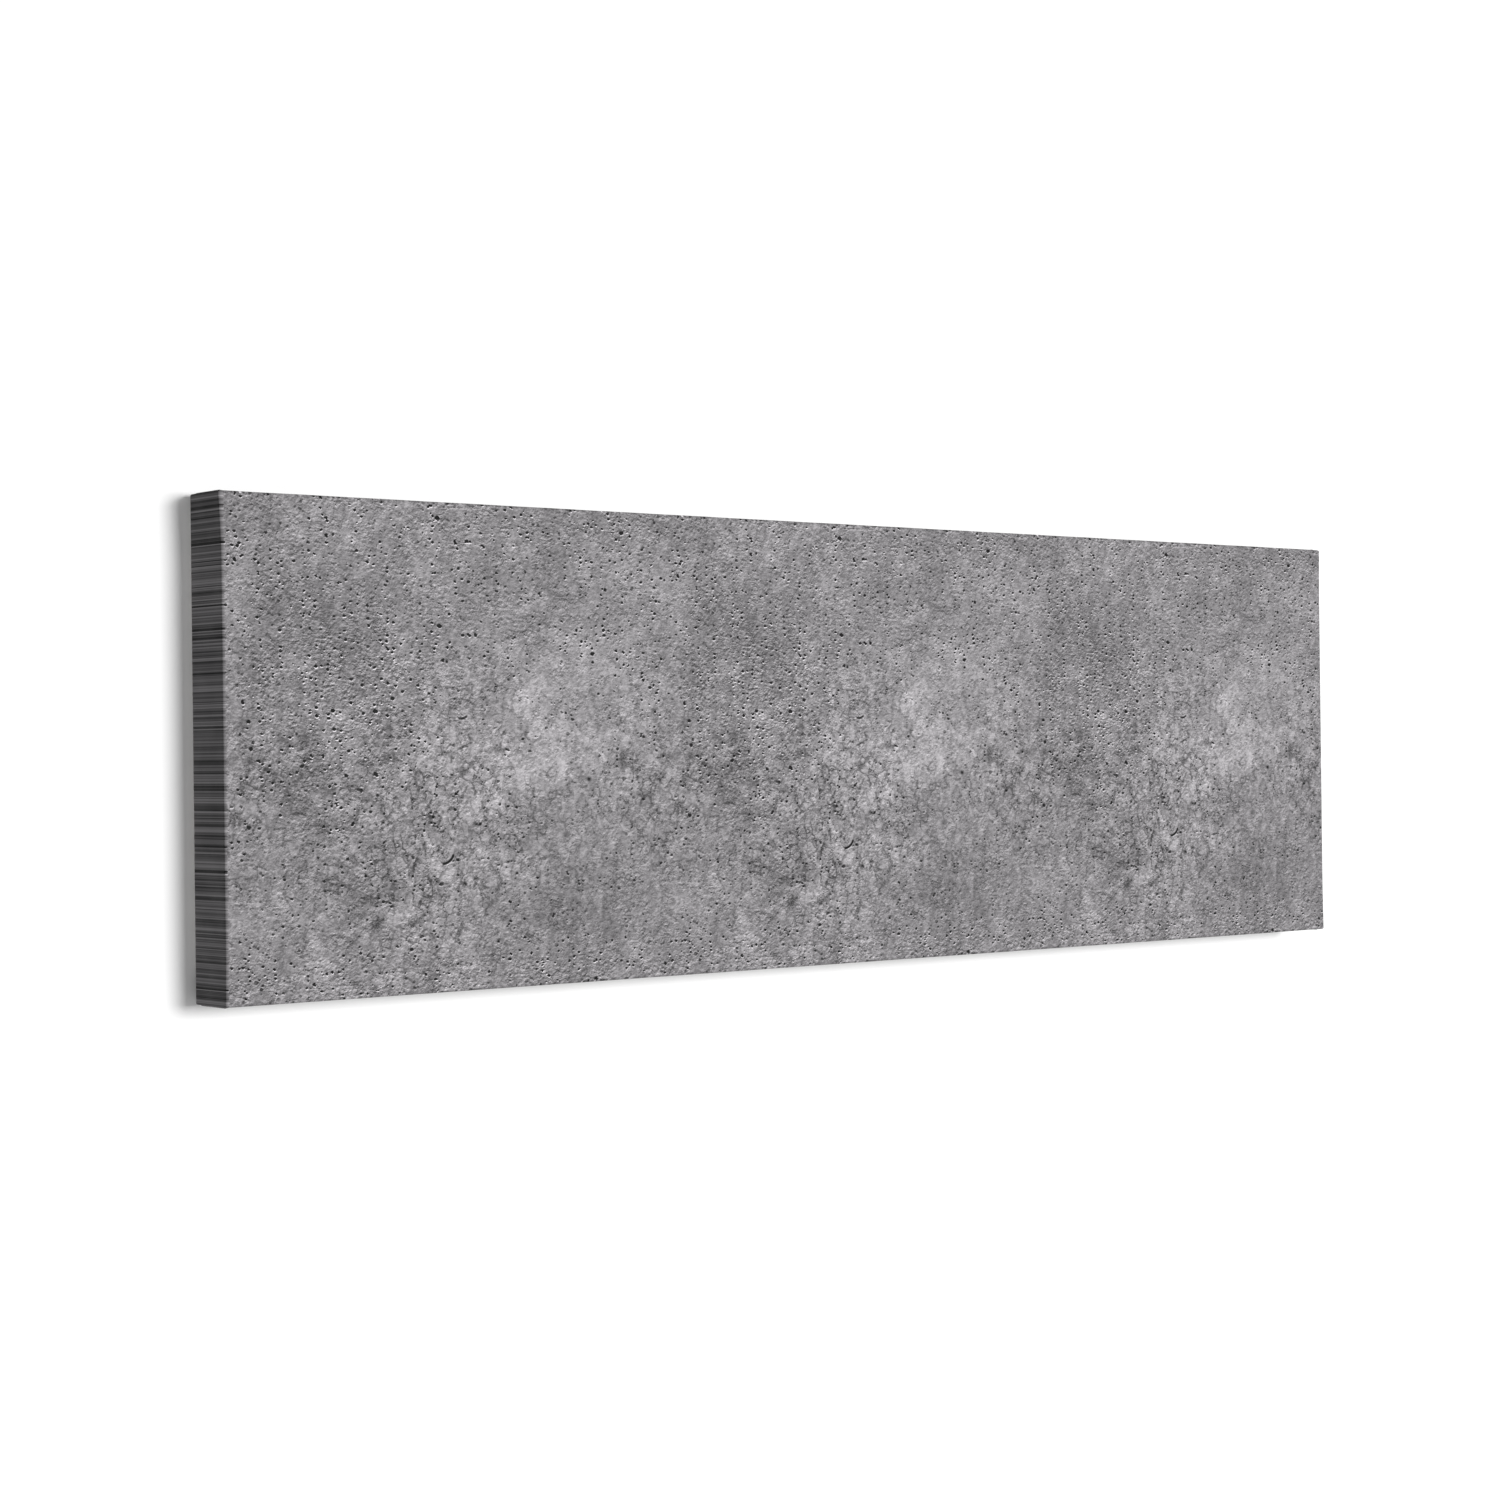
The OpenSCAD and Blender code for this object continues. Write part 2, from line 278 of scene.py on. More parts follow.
class StageSettings(PropertyGroup):
    """Camera and light."""

    roll: FloatProperty(
        name="Roll",
        description="Turn of the camera about its own line of sight",
        default=math.radians(-0.67),
        subtype="ANGLE",
    )
    lens: FloatProperty(
        name="Lens",
        description="Focal length on a 36 mm sensor",
        default=73.62,
        min=10.0,
        max=300.0,
        subtype="DISTANCE_CAMERA",
    )
    camera_place: FloatVectorProperty(
        name="Camera place",
        description="Where the camera stands",
        default=(-1.430, -1.583, -0.107),
        subtype="TRANSLATION",
    )
    aim: FloatVectorProperty(
        name="Aim",
        description="Point on the picture's front that the camera looks at",
        default=(-0.0983, -0.041, -0.1037),
        subtype="TRANSLATION",
    )
    floor_drop: FloatProperty(
        name="Floor drop",
        description="Height of the wall hooks above the floor",
        default=1.5,
        min=0.5,
        max=3.0,
        unit="LENGTH",
    )
    ambient: FloatProperty(
        name="Ambient",
        description="Strength of the even light from all round",
        default=0.40,
        min=0.0,
        max=2.0,
    )
    key_power: FloatProperty(
        name="Key power",
        description="Power of the large soft light in front",
        default=47.5,
        min=0.0,
        max=1000.0,
        unit="POWER",
    )
    back_power: FloatProperty(
        name="Back power",
        description="Power of the soft light behind, for looking at the frame",
        default=26.0,
        min=0.0,
        max=500.0,
        unit="POWER",
    )
    show_wall: BoolProperty(
        name="Show wall",
        description="Put the wall behind the picture",
        default=True,
    )


# ---- surfaces ----


def smooth(t):
    """Soft step: 3 t squared less 2 t cubed, held between 0 and 1."""
    t = np.clip(t, 0.0, 1.0)
    return t * t * (3.0 - 2.0 * t)


def fractions(length, near, fine, coarse):
    """Places from 0 to 1 along a side, fine steps within near of each end and coarse between."""
    ends = np.arange(0.0, near, fine)
    count = max(2, round((length - 2 * near) / coarse) + 1)
    middle = np.linspace(near, length - near, count)
    return np.concatenate([ends, middle, length - ends[::-1]]) / length


def grid_faces(rows, columns, start):
    """Quads of a grid of points stored row by row, the first point being number start."""
    number = start + np.arange(rows * columns).reshape(rows, columns)
    quads = (number[:-1, :-1], number[:-1, 1:], number[1:, 1:], number[1:, :-1])
    return np.stack(quads, axis=-1).reshape(-1, 4)


def mesh_from_grids(name, grids):
    """One object from grids of (points, cloth places); the cloth places become the UV map."""
    points = np.concatenate([p.reshape(-1, 3) for p, _ in grids])
    places = np.concatenate([c.reshape(-1, 2) for _, c in grids])
    starts = np.cumsum([0] + [p.shape[0] * p.shape[1] for p, _ in grids[:-1]])
    faces = np.concatenate(
        [grid_faces(p.shape[0], p.shape[1], s) for (p, _), s in zip(grids, starts)]
    )
    mesh = bpy.data.meshes.new(name)
    mesh.vertices.add(len(points))
    mesh.vertices.foreach_set("co", points.astype(np.float32).ravel())
    mesh.loops.add(faces.size)
    mesh.loops.foreach_set("vertex_index", faces.astype(np.int32).ravel())
    mesh.polygons.add(len(faces))
    mesh.polygons.foreach_set("loop_start", np.arange(0, faces.size, 4, dtype=np.int32))
    mesh.update(calc_edges=True)
    layer = mesh.uv_layers.new(name="Cloth")
    layer.data.foreach_set("uv", places[faces.ravel()].astype(np.float32).ravel())
    shell = bmesh.new()
    shell.from_mesh(mesh)
    bmesh.ops.remove_doubles(shell, verts=shell.verts, dist=2e-6)
    bmesh.ops.dissolve_degenerate(shell, edges=shell.edges, dist=1e-7)
    shell.to_mesh(mesh)
    shell.free()
    mesh.validate()
    mesh.shade_smooth()
    piece = bpy.data.objects.new(name, mesh)
    bpy.context.scene.collection.objects.link(piece)
    return piece


def wrap_profile(cloth):
    """Section of the wrap as insets from the outline and depths from the front.

    It runs from inside the face outwards, round the front edge on a quarter circle,
    back along the side, round the back edge on a smaller one and in over the back.
    Also returns the length of cloth from the front edge's start to each station.
    """
    depth = SIZE[1]
    r, b = cloth.front_radius, cloth.back_radius
    turn = np.linspace(0.0, np.pi / 2, 8)
    back = np.linspace(0.0, np.pi / 2, 6)
    face = np.array([0.042, 0.030, 0.020, 0.013, 0.008, 0.005])
    side = np.linspace(r, depth - b, 20)[1:]
    behind = np.linspace(b, cloth.turn_in, 12)[1:]
    inset = np.concatenate(
        [face, r * (1 - np.sin(turn)), 0 * side, b * (1 - np.cos(back))[1:], behind]
    )
    deep = np.concatenate(
        [
            0 * face,
            r * (1 - np.cos(turn)),
            side,
            depth - b * (1 - np.sin(back))[1:],
            depth + 0 * behind,
        ]
    )
    steps = np.hypot(np.diff(inset), np.diff(deep))
    along = np.concatenate([[0.0], np.cumsum(steps)]) - face[0]
    return inset, deep, along


def outline(inset, across, upright, corner):
    """Rounded rectangle at an inset, clockwise from the top left, with its cloth directions.

    Each side is a straight run at the given fractions; each corner is a quarter circle
    whose radius shrinks by the inset and ends as a point.
    Returns the X-Z points and, for each, the outward direction of its side in the cloth.
    """
    a = SIZE[0] / 2 - inset
    b = SIZE[2] / 2 - inset
    r = max(corner - inset, 0.0)
    arc = np.linspace(0.0, np.pi / 2, 6)[1:-1]
    xs = (2 * across - 1) * (a - r)
    zs = (2 * upright - 1) * (b - r)
    one, none = np.ones_like, np.zeros_like
    runs = [
        (np.stack([xs, b * one(xs)], 1), np.stack([none(xs), one(xs)], 1)),
        (
            np.stack([a - r + r * np.sin(arc), b - r + r * np.cos(arc)], 1),
            np.stack([np.sin(arc), np.cos(arc)], 1),
        ),
        (np.stack([a * one(zs), -zs], 1), np.stack([one(zs), none(zs)], 1)),
        (
            np.stack([a - r + r * np.cos(arc), -b + r - r * np.sin(arc)], 1),
            np.stack([np.cos(arc), -np.sin(arc)], 1),
        ),
        (np.stack([-xs, -b * one(xs)], 1), np.stack([none(xs), -one(xs)], 1)),
        (
            np.stack([-a + r - r * np.sin(arc), -b + r - r * np.cos(arc)], 1),
            np.stack([-np.sin(arc), -np.cos(arc)], 1),
        ),
        (np.stack([-a * one(zs), zs], 1), np.stack([-one(zs), none(zs)], 1)),
        (
            np.stack([-a + r - r * np.cos(arc), b - r + r * np.sin(arc)], 1),
            np.stack([-np.cos(arc), np.sin(arc)], 1),
        ),
    ]
    points = np.concatenate([run[0] for run in runs])
    outward = np.concatenate([run[1] for run in runs])
    return np.concatenate([points, points[:1]]), np.concatenate([outward, outward[:1]])


def settle(points, cloth):
    """Lets stretched cloth stand off its frame a little, as a smooth shift of every point.

    At each corner the cloth stands out sideways by a bulge that dies away along the
    upright edge, towards the middle and towards the back. Between the staples the sides
    pull in by a small wave, and the face has a slow ripple that stops short of the lip.
    """
    x, y, z = points[..., 0], points[..., 1], points[..., 2]
    half_w, half_h = SIZE[0] / 2, SIZE[2] / 2
    dx, dz = x - MIDDLE[0], z - MIDDLE[2]
    from_side = half_w - np.abs(dx)
    from_end = half_h - np.abs(dz)
    front = np.clip((HIGH[1] - y) / SIZE[1], 0.0, 1.0)
    moved = points.copy()
    bulges = (
        (LEFT, TOP, cloth.corner_bulge, 0.040),
        (RIGHT, TOP, 0.0006, 0.040),
        (LEFT, BOTTOM, 0.0003, 0.030),
        (RIGHT, BOTTOM, 0.0007, 0.040),
    )
    for side, level, size, reach in bulges:
        here = (dx * side > 0) & (dz * level > 0)
        fade = np.clip(1 - from_end / reach, 0, 1) ** 1.3
        fade = fade * np.clip(1 - from_side / 0.03, 0, 1) ** 2
        moved[..., 0] += np.where(here, side * size * fade * front**1.5, 0.0)
    on_side = smooth((0.004 - np.minimum(from_side, from_end)) / 0.003) * front * (1 - front) * 4
    wave = WAVE * np.sin(dx * 2 * np.pi / 0.0611) * np.sin(dz * 2 * np.pi / 0.0565 + 0.7)
    upright = from_side < from_end
    moved[..., 0] += np.where(upright, np.sign(dx) * wave * on_side, 0.0)
    moved[..., 2] += np.where(upright, 0.0, np.sign(dz) * wave * on_side)
    inside = smooth((np.minimum(from_side, from_end) - 0.007) / 0.04) * smooth((front - 0.9) / 0.1)
    ripple = np.sin(dx * 9.1 + 0.6) * np.sin(dz * 17.0 + 1.1) + 0.4 * np.sin(dx * 23.0 - dz * 31.0)
    moved[..., 1] += RIPPLE * (1 + ripple) * inside
    return moved


def cloth_grids(cloth):
    """The wrap as two grids: the profile carried round the outline, and the face inside it."""
    across = fractions(SIZE[0], 0.045, 0.0022, 0.012)
    upright = fractions(SIZE[2], 0.045, 0.0022, 0.012)
    inset, deep, along = wrap_profile(cloth)
    rings, places = [], []
    for number, (step, down, length) in enumerate(zip(inset, deep, along)):
        ring, outward = outline(step, across, upright, CORNER_RADIUS)
        if number == len(inset) - 1:
            count = np.arange(len(ring) - 1)
            fray = 0.0005 * np.sin(count * 0.9) + 0.0003 * np.sin(count * 2.7)
            ring[:-1] += outward[:-1] * fray[:, None]
            ring[-1] = ring[0]
        rings.append(np.insert(ring + MIDDLE[[0, 2]], 1, LOW[1] + down, axis=1))
        rim = ring + outward * step
        places.append(rim + outward * length)
    wrap = (settle(np.array(rings), cloth), np.array(places))
    ring, _ = outline(inset[0], across, upright, 0.0)
    xs = (2 * across - 1) * (SIZE[0] / 2 - inset[0])
    zs = (2 * upright - 1) * (SIZE[2] / 2 - inset[0])
    x, z = np.meshgrid(xs, zs)
    face = np.stack([x + MIDDLE[0], np.full_like(x, LOW[1]), z + MIDDLE[2]], -1)
    return [wrap, (settle(face, cloth), np.stack([x, z], -1))]


def fold_grid(edge, inner, up, cloth):
    """A folded layer between its fold edge and an inner line where it dives under.

    The point at (a, b) lies b of the way from the edge to the inner line, both at
    fraction a of their length, lifted along up: from just under the cloth at the edge,
    up at once over a round fold, then slowly down again. Both ends sink under the cloth.
    """
    a, b = np.meshgrid(np.linspace(0, 1, 22), np.linspace(0, 1, 26) ** 1.8, indexing="ij")
    start = edge[0] + (edge[1] - edge[0]) * a[..., None]
    end = inner[0] + (inner[1] - inner[0]) * a[..., None]
    rise = np.sqrt(np.clip(1 - (1 - np.clip(b / 0.05, 0, 1)) ** 2, 0, 1))
    ends = smooth(a / 0.1) * smooth((1 - a) / 0.1)
    height = (cloth.fold_lift + SUNK) * rise * (1 - smooth(b)) * ends - SUNK
    points = start + (end - start) * b[..., None] + up * height[..., None]
    facing = np.cross(points[5, 6] - points[5, 5], points[6, 5] - points[5, 5])
    if facing @ up < 0:
        points = points[::-1]
    place = points[..., [0, 2]] - MIDDLE[[0, 2]]
    place = place + up[[0, 2]] * (points[..., 1:2] - LOW[1])
    return points, place


def fold_grids(cloth):
    """The corner folds: on the top and bottom sides, and across the mitres behind."""
    grids = []
    for side in (LEFT, RIGHT):
        for level in (TOP, BOTTOM):
            x = HIGH[0] if side == RIGHT else LOW[0]
            z = HIGH[2] if level == TOP else LOW[2]
            front, back = LOW[1] + 0.003, HIGH[1] - 0.0008
            up = np.array([0.0, 0.0, level])
            edge = np.array([[x - side * FOLD_INSET, front, z], [x - side * FOLD_INSET, back, z]])
            inner = np.array([[x - side * 0.006, front, z], [x - side * 0.037, back, z]])
            grids.append(fold_grid(edge, inner, up, cloth))
            up = np.array([0.0, 1.0, 0.0])
            y = HIGH[1]
            edge = np.array(
                [
                    [x - side * FOLD_INSET, y, z - level * FOLD_INSET],
                    [x - side * (FOLD_INSET + 0.022), y, z - level * (FOLD_INSET + 0.022)],
                ]
            )
            inner = edge + np.array([[-side * 0.030, 0, 0], [-side * 0.022, 0, 0]])
            grids.append(fold_grid(edge, inner, up, cloth))
    return grids


# ---- materials ----


class Graph:
    """A tree of nodes that is linked as it is written."""

    def __init__(self, tree):
        self.tree = tree
        tree.nodes.clear()

    def add(self, kind, inputs=(), **settings):
        """Adds a node, sets its settings, then links or sets each input that is given."""
        node = self.tree.nodes.new(kind)
        for name, value in settings.items():
            setattr(node, name, value)
        given = inputs.items() if isinstance(inputs, dict) else enumerate(inputs)
        for key, value in given:
            if isinstance(value, bpy.types.NodeSocket):
                self.tree.links.new(value, node.inputs[key])
            elif value is not None:
                node.inputs[key].default_value = value
        return node

    def math(self, operation, *values):
        """One sum of numbers."""
        return self.add("ShaderNodeMath", values, operation=operation).outputs[0]

    def times(self, first, second):
        """The product of two values."""
        return self.math("MULTIPLY", first, second)

    def less(self, first, second):
        """The first value less the second."""
        return self.math("SUBTRACT", first, second)

    def vector(self, operation, *values):
        """One sum of vectors; a distance comes out as a number."""
        node = self.add("ShaderNodeVectorMath", values, operation=operation)
        return node.outputs["Value" if operation == "DISTANCE" else "Vector"]

    def wander(self, place, scale, reach, detail=2.0):
        """The place, shifted each way by noise of a scale, by up to half of reach."""
        noise = self.add("ShaderNodeTexNoise", {"Vector": place, "Scale": scale, "Detail": detail})
        middle = self.vector("SUBTRACT", noise.outputs["Color"], (0.5, 0.5, 0.5))
        shift = self.add("ShaderNodeVectorMath", {0: middle, "Scale": reach}, operation="SCALE")
        return self.vector("ADD", place, shift.outputs["Vector"])

    def total(self, *values):
        """The sum of any number of values."""
        result = values[0]
        for value in values[1:]:
            result = self.math("ADD", result, value)
        return result

    def step(self, value, low, high, below=0.0, above=1.0):
        """Soft step from below to above as value goes from low to high."""
        node = self.add(
            "ShaderNodeMapRange", (value, low, high, below, above), interpolation_type="SMOOTHSTEP"
        )
        return node.outputs[0]

    def noise(self, place, size, detail=2.0, roughness=0.5, distortion=0.0):
        """Soft noise between 0 and 1 with features of about the given size in metres."""
        node = self.add(
            "ShaderNodeTexNoise",
            {
                "Vector": place,
                "Scale": 1 / size,
                "Detail": detail,
                "Roughness": roughness,
                "Distortion": distortion,
            },
        )
        return node.outputs["Fac"]

    def cells(self, place, size, feature="F1"):
        """Distance to the nearest of scattered points, in cells, and that point's colour."""
        node = self.add(
            "ShaderNodeTexVoronoi",
            {"Vector": place, "Scale": 1 / size, "Randomness": 1.0},
            feature=feature,
        )
        return node.outputs["Distance"], node.outputs.get("Color")

    def mix(self, share, first, second):
        """A colour between the first, at share 0, and the second, at share 1."""
        node = self.add("ShaderNodeMix", data_type="RGBA")
        for socket, value in ((0, share), (6, first), (7, second)):
            if isinstance(value, bpy.types.NodeSocket):
                self.tree.links.new(value, node.inputs[socket])
            else:
                node.inputs[socket].default_value = value
        return node.outputs[2]

    def object_place(self):
        """The place in the picture's own frame, in metres."""
        return self.add("ShaderNodeTexCoord").outputs["Object"]

    def split(self, place):
        """The three numbers of a vector."""
        return self.add("ShaderNodeSeparateXYZ", [place]).outputs

    def join(self, x, y, z):
        """A vector of three numbers."""
        return self.add("ShaderNodeCombineXYZ", [x, y, z]).outputs[0]

    def stretched(self, place, x, y, z):
        """The place with each axis divided by a stretch, so that features grow along it."""
        return self.vector("DIVIDE", place, (x, y, z))

    def bump(self, height, depth, strength=1.0):
        """Normals of a height from 0 to 1, of a depth in metres."""
        node = self.add(
            "ShaderNodeBump", {"Strength": strength, "Distance": depth, "Height": height}
        )
        return node.outputs["Normal"]

    def finish(self, **inputs):
        """The shader and the output, with the shader's inputs by name."""
        shader = self.add("ShaderNodeBsdfPrincipled", inputs)
        self.add("ShaderNodeOutputMaterial", [shader.outputs[0]])
        return shader


def material(name):
    """A new material with an empty tree, and the tree's graph."""
    made = bpy.data.materials.new(name)
    made.use_nodes = True
    return made, Graph(made.node_tree)


def colour(value):
    """A colour with full alpha, for a colour socket."""
    return (*value, 1.0)


def on_cylinder(g, along, up, radius):
    """Bends the run along the picture round an upright cylinder, so that it meets itself."""
    turn = g.math("DIVIDE", along, radius)
    return g.join(
        g.times(g.math("COSINE", turn), radius),
        g.times(g.math("SINE", turn), radius),
        up,
    )


def relief_group(radius):
    """Height of the printed concrete at a place: fine grain, and round pits of two sizes.

    A pit is the inside of a ball round a scattered point. Its radius follows the point's
    own random number, so some points have none. Pits are wider than high, with soft walls.
    """
    tree = bpy.data.node_groups.new("Concrete relief", "ShaderNodeTree")
    for name in ("Along", "Up"):
        tree.interface.new_socket(name, in_out="INPUT", socket_type="NodeSocketFloat")
    for name in ("Grain", "Pits"):
        tree.interface.new_socket(name, in_out="OUTPUT", socket_type="NodeSocketFloat")
    g = Graph(tree)
    entry = g.add("NodeGroupInput")
    place = on_cylinder(g, entry.outputs["Along"], entry.outputs["Up"], radius)
    grain = g.noise(g.stretched(place, 1.3, 1.3, 1.0), 0.0021, 3.0, 0.66)
    warped = g.stretched(g.wander(place, 600.0, 0.0016), 1.35, 1.35, 1.0)
    depths = []
    for size, rarest, widest in PITS:
        distance, shade = g.cells(warped, size)
        chance = g.split(shade)[0]
        reach = g.step(chance, rarest, 1.0, 0.0, widest)
        room = g.less(reach, distance)
        depths.append(g.step(room, -0.03, 0.08))
    g.add("NodeGroupOutput", [grain, g.math("MAXIMUM", depths[0], depths[1])])
    return tree


def spot(g, place, centre, radius, size):
    """A soft round patch: size at the centre, fading as a bell over the radius."""
    distance = g.vector("DISTANCE", place, centre)
    ratio = g.math("DIVIDE", distance, radius)
    bell = g.math("EXPONENT", g.times(g.times(ratio, ratio), -1.0))
    return g.times(bell, size)


def insets(g, x, z):
    """How far a place lies inside the picture's sides, and inside its top and bottom."""
    half_w, half_h = SIZE[0] / 2, SIZE[2] / 2
    from_side = g.less(half_w, g.math("ABSOLUTE", g.less(x, MIDDLE[0])))
    from_end = g.less(half_h, g.math("ABSOLUTE", g.less(z, MIDDLE[2])))
    return from_side, from_end


def print_place(g):
    """Where on the flat print a place of the wrapped cloth lies: along and up, in metres.

    On the sides it is the nearest place of the face's edge, so the edge's tones run
    straight back. Behind, it is carried out again by its inset, so they run on.
    """
    x, y, z = g.split(g.object_place())
    from_side, from_end = insets(g, x, z)
    behind = g.math("GREATER_THAN", y, HIGH[1] - BEHIND)
    upright = g.math("LESS_THAN", from_side, from_end)
    right = g.math("SIGN", g.less(x, MIDDLE[0]))
    upper = g.math("SIGN", g.less(z, MIDDLE[2]))
    out_x = g.times(g.times(behind, upright), g.times(right, from_side))
    out_z = g.times(g.times(behind, g.less(1.0, upright)), g.times(upper, from_end))
    x, z = g.total(x, out_x), g.total(z, out_z)
    x = g.math("MINIMUM", g.math("MAXIMUM", x, LOW[0] + EDGE), HIGH[0] - EDGE)
    z = g.math("MINIMUM", g.math("MAXIMUM", z, LOW[2] + EDGE), HIGH[2] - EDGE)
    return g.less(x, LOW[0]), z


def pale_patch(g, place, on_round, along, down, repeat):
    """The large pale patch, which stops short along a slanting, ragged ledge."""
    patch = spot(g, place, on_round(0.238, 0.148), 0.052, 0.108)
    across = g.math("MODULO", along, repeat)
    ledge = g.less(0.190, g.times(g.less(across, 0.204), 0.42))
    ledge = g.total(ledge, g.times(g.noise(place, 0.012, 3.0), 0.006))
    return g.times(patch, g.step(g.less(ledge, down), -0.0012, 0.0022, 0.10, 1.0))


def mottle(g, place, flaky):
    """Mottling at four sizes; where the surface has flaked, pale islands with dark borders."""
    clouds = g.less(g.noise(place, 0.034, 3.0, 0.55), 0.5)
    blots = g.noise(place, 0.0088, 5.0, 0.64, 0.5)
    islands = g.step(blots, 0.50, 0.54)
    borders = g.times(g.step(blots, 0.42, 0.48), g.less(1.0, islands))
    specks = g.less(g.noise(place, 0.0036, 4.0, 0.68), 0.5)
    edge, _ = g.cells(g.wander(place, 260.0, 0.006, 3.0), 0.0078, "DISTANCE_TO_EDGE")
    broken = g.step(g.noise(place, 0.011), 0.40, 0.58)
    cracks = g.times(g.step(edge, 0.03, 0.12, 1.0, 0.0), broken)
    flakes = g.total(g.times(islands, 0.042), g.times(borders, -0.070), g.times(cracks, -0.17))
    return g.total(
        g.times(clouds, 0.27),
        g.times(g.less(blots, 0.5), 0.16),
        g.times(specks, 0.42),
        g.times(g.total(flakes, 0.035), g.total(flaky, 0.30)),
    )


def embossed(g, place, along, up, round_r, rough, pitted):
    """Grain and pits, lit from the upper left, each as strong as its field says.

    It is the height a little below less the height a little above: dark under an upper
    rim and light over a lower one.
    """
    group = relief_group(round_r)
    above, below = (g.add("ShaderNodeGroup", node_tree=group) for _ in range(2))
    for node, lift in ((above, EMBOSS), (below, -EMBOSS)):
        g.tree.links.new(g.total(along, -0.3 * lift), node.inputs[0])
        g.tree.links.new(g.total(up, lift), node.inputs[1])
    grain = g.less(below.outputs["Grain"], above.outputs["Grain"])
    hollow = below.outputs["Pits"]
    rim = g.times(above.outputs["Pits"], g.less(1.0, hollow))
    gathered = g.step(g.noise(place, 0.022, 3.0, 0.6), 0.42, 0.60, 0.22, 1.2)
    worn = g.step(g.noise(place, 0.010, 3.0, 0.6), 0.38, 0.60, 0.55, 1.4)
    marks = g.less(g.times(rim, 0.46), g.times(hollow, 0.95))
    return g.times(rough, g.total(g.times(grain, worn), g.times(marks, g.times(pitted, gathered))))


def nick(g, place, centre, middle, reach, cut):
    """A short curved nick: the part of a thin ring near its middle, with a pale lower lip."""
    ring = g.less(g.vector("DISTANCE", place, centre), NICK_RADIUS)
    line = g.times(g.step(ring, -0.0010, -0.0005), g.step(ring, 0.0004, 0.0009, 1.0, 0.0))
    lip = g.times(g.step(ring, 0.0006, 0.0010), g.step(ring, 0.0011, 0.0020, 1.0, 0.0))
    near = g.vector("DISTANCE", place, middle)
    mark = g.less(g.times(lip, 0.14), g.times(line, cut))
    return g.times(mark, g.step(near, reach * 0.6, reach, 1.0, 0.0))


def printed_concrete(g, settings):
    """Brightness of the print, from 0 to 1, by place on the picture.

    Across, the place is bent round a cylinder as long round as one repeat, so every
    repeat is the same and its ends meet.
    """
    repeat = SIZE[0] / settings.repeats
    round_r = repeat / (2 * math.pi)
    along, up = print_place(g)
    place = on_cylinder(g, along, up, round_r)
    down = g.less(HIGH[2], up)

    def on_round(right, drop):
        angle = right / round_r
        return (round_r * math.cos(angle), round_r * math.sin(angle), HIGH[2] - drop)

    def spots(zones):
        return [spot(g, place, on_round(*where), radius, size) for where, radius, size in zones]

    rough = g.total(
        *spots(ROUGH_ZONES),
        0.90,
        g.step(down, 0.262, 0.292, 0.0, 0.25),
        g.step(down, 0.010, 0.045, 0.2, 0.0),
    )
    pitted = g.total(
        0.46,
        *spots(PITTED_ZONES),
        g.step(down, 0.020, 0.060, 0.30, 0.0),
        g.step(down, 0.262, 0.288, 0.0, 0.35),
    )
    nicks = [
        nick(g, place, on_round(*centre), on_round(*middle), reach, cut)
        for centre, middle, reach, cut in NICKS
    ]
    return g.total(
        settings.tone,
        pale_patch(g, place, on_round, along, down, repeat),
        *spots(PATCHES),
        mottle(g, place, g.total(*spots(FLAKY_ZONES))),
        embossed(g, place, along, up, round_r, rough, pitted),
        *nicks,
    )


def weave(g, cloth):
    """Height of a plain weave by place in the flat cloth, between about 0 and 1.

    Warp and weft are each a wave across their threads, raised where the other dips,
    with threads that thicken and thin along their length.
    """
    place = g.add("ShaderNodeUVMap", uv_map="Cloth").outputs[0]
    uneven = g.noise(place, 0.004, 2.0, 0.6)
    u, v, _ = g.split(place)
    rate = math.pi / cloth.thread_pitch
    across = g.math("SINE", g.times(u, rate))
    down = g.math("SINE", g.times(v, rate))
    product = g.times(across, down)
    threads = g.math("MAXIMUM", g.math("ABSOLUTE", across), g.math("ABSOLUTE", down))
    return g.total(
        g.times(product, 0.35), g.times(threads, 0.4), uneven
    )


def printed_cloth_material(cloth, settings):
    """Printed side of the cloth: concrete in front, darker on the sides, partly as a darker
    printed edge and partly as painted shade, bare at the turn-in.
    """
    made, g = material("Printed canvas")
    value = printed_concrete(g, settings)
    x, y, z = g.split(g.object_place())
    on_side = g.step(y, LOW[1] + 0.0009, LOW[1] + 0.0017)
    # On the sides the tones are pulled further apart, but no streak is too pale
    contrast = g.total(1.0, g.times(on_side, SIDE_CONTRAST))
    value = g.total(settings.tone, g.times(g.less(value, settings.tone), contrast))
    ceiling = g.step(on_side, 0.0, 1.0, 1.0, settings.tone + SIDE_CEILING)
    value = g.math("MINIMUM", value, ceiling)
    value = g.math("POWER", g.math("MAXIMUM", value, DARKEST), 2.2)
    # On the sides the print is darkened by the side tone: partly a darker printed edge, partly
    # painted shade standing in for the shadow on the sides
    share = g.less(1.0, g.times(on_side, 1.0 - settings.side_tone_and_shade))
    value = g.times(value, g.times(share, FACE_SHARE))
    ink = g.add("ShaderNodeCombineColor", [g.times(value, c) for c in settings.tint])
    from_side, from_end = insets(g, x, z)
    inset = g.math("MINIMUM", from_side, from_end)
    inset = g.total(inset, g.times(g.noise(g.object_place(), 0.004), 0.0008))
    bare = g.times(
        g.step(inset, 0.0066, 0.0072), g.step(y, HIGH[1] - 0.004, HIGH[1] - 0.003)
    )
    patchy = g.noise(g.object_place(), 0.012, 3.0)
    primer = g.mix(patchy, colour((0.78, 0.77, 0.73)), colour((0.86, 0.85, 0.82)))
    rough = g.step(g.noise(g.object_place(), 0.02, 3.0), 0.3, 0.7, 0.62, 0.78)
    g.finish(
        **{
            "Base Color": g.mix(bare, ink.outputs[0], primer),
            "Roughness": rough,
            "Specular IOR Level": 0.25,
            "Normal": g.bump(weave(g, cloth), 0.00007, 0.6),
        }
    )
    return made


